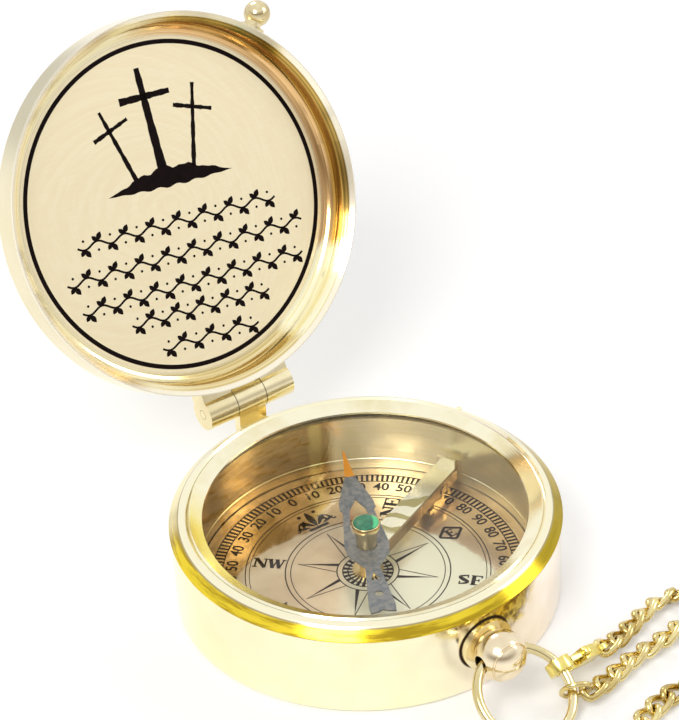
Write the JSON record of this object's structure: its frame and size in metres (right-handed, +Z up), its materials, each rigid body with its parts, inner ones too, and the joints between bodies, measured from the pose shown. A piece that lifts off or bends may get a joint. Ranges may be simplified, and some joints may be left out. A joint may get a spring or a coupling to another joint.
{
  "type": "lidded brass pocket compass on a chain",
  "caption": "Pocket compass in polished brass with a glazed dial, an engraved lid standing open, a jewelled needle, a bow ring and a clasped chain.",
  "frame": {"origin": "middle of the flat base, on the floor", "axes": "+Z up, +Y towards the hinge of the lid, -Y towards the bow knob, +X to the right"},
  "size_m": [0.1218, 0.1675, 0.0926],
  "materials": {
    "case_brass": "polished",
    "bezel_brass": "polished",
    "lid_brass": "polished, floor engraved",
    "hinge_brass": "polished",
    "bow_brass": "polished",
    "chain_brass": "polished",
    "inner_brass": "satin",
    "lever_brass": "polished",
    "dial_metal": "silvered and printed",
    "needle_paint": "satin, orange tip",
    "steel": "ground",
    "gasket": "matt",
    "glass": "clear",
    "jewel_red": "polished",
    "jewel_green": "polished"
  },
  "bodies": {
    "case": {"case_cup": "case_brass", "dial_plate": "dial_metal", "glass_gasket": "gasket", "glass": "glass", "bezel_ring": "bezel_brass", "pivot_post": "inner_brass", "pivot_point": "steel", "lifter_bracket": "inner_brass", "lifter_rivet": "inner_brass", "bracket_screws": "inner_brass", "lifter_spring": "inner_brass", "case_hinge_leaf": "hinge_brass", "hinge_pin": "hinge_brass", "bow_collar": "bow_brass", "bow_knob": "bow_brass"},
    "lid": {"lid_shell": "lid_brass", "lid_hinge_leaf": "hinge_brass", "lid_ball": "lid_brass"},
    "needle": {"needle_blade": "needle_paint", "needle_cap": "inner_brass", "needle_bearing": "jewel_red", "needle_jewel": "jewel_green"},
    "lifter": {"lifter_lever": "lever_brass"},
    "lock_pin": {"push_pin": "steel"},
    "bow": {"bow_ring": "bow_brass", "clasp_body": "chain_brass", "clasp_rivet": "chain_brass", "clasp_spring": "steel", "chain_end_ring": "chain_brass", "chain_clasp_side": "chain_brass", "chain_ring_side": "chain_brass", "chain_corner": "chain_brass", "chain_loop": "chain_brass"},
    "gate": {"clasp_gate": "chain_brass"}
  },
  "joints": [
    {"name": "lid_hinge", "type": "hinge", "parent": "case", "child": "lid", "pos_m": [0, 0.0404, 0.02205], "axis": [1, 0, 0], "range_deg": [0, 118]},
    {"name": "needle_turn", "type": "hinge", "parent": "case", "child": "needle", "pos_m": [0, 0, 0.0134], "axis": [0, 0, 1], "continuous": true},
    {"name": "lever_tilt", "type": "hinge", "parent": "case", "child": "lifter", "pos_m": [0.02301, 0.00977, 0.00695], "axis": [-0.3907, 0.9205, 0], "range_deg": [0, 2.7], "deforming": ["lifter_spring"]},
    {"name": "push_pin_slide", "type": "slide", "parent": "case", "child": "lock_pin", "axis": [0, 0, -1], "range_m": [0, 0.00051]},
    {"name": "bow_swing", "type": "hinge", "parent": "case", "child": "bow", "pos_m": [0, -0.04181, 0.01045], "axis": [-1, 0, 0], "range_deg": [0, 100]},
    {"name": "gate_pivot", "type": "hinge", "parent": "bow", "child": "gate", "pos_m": [0.01492, -0.04731, 0.00624], "axis": [0.0063, -0.8361, -0.5485], "range_deg": [0, 16], "stiffness_Nm_per_rad": 0.001, "springref_deg": -5.73}
  ],
  "couplings": [
    {"joint": "lever_tilt", "follows": "lid_hinge", "ratio": 0.02225},
    {"joint": "push_pin_slide", "follows": "lid_hinge", "m_per_rad": 0.00024278}
  ]
}
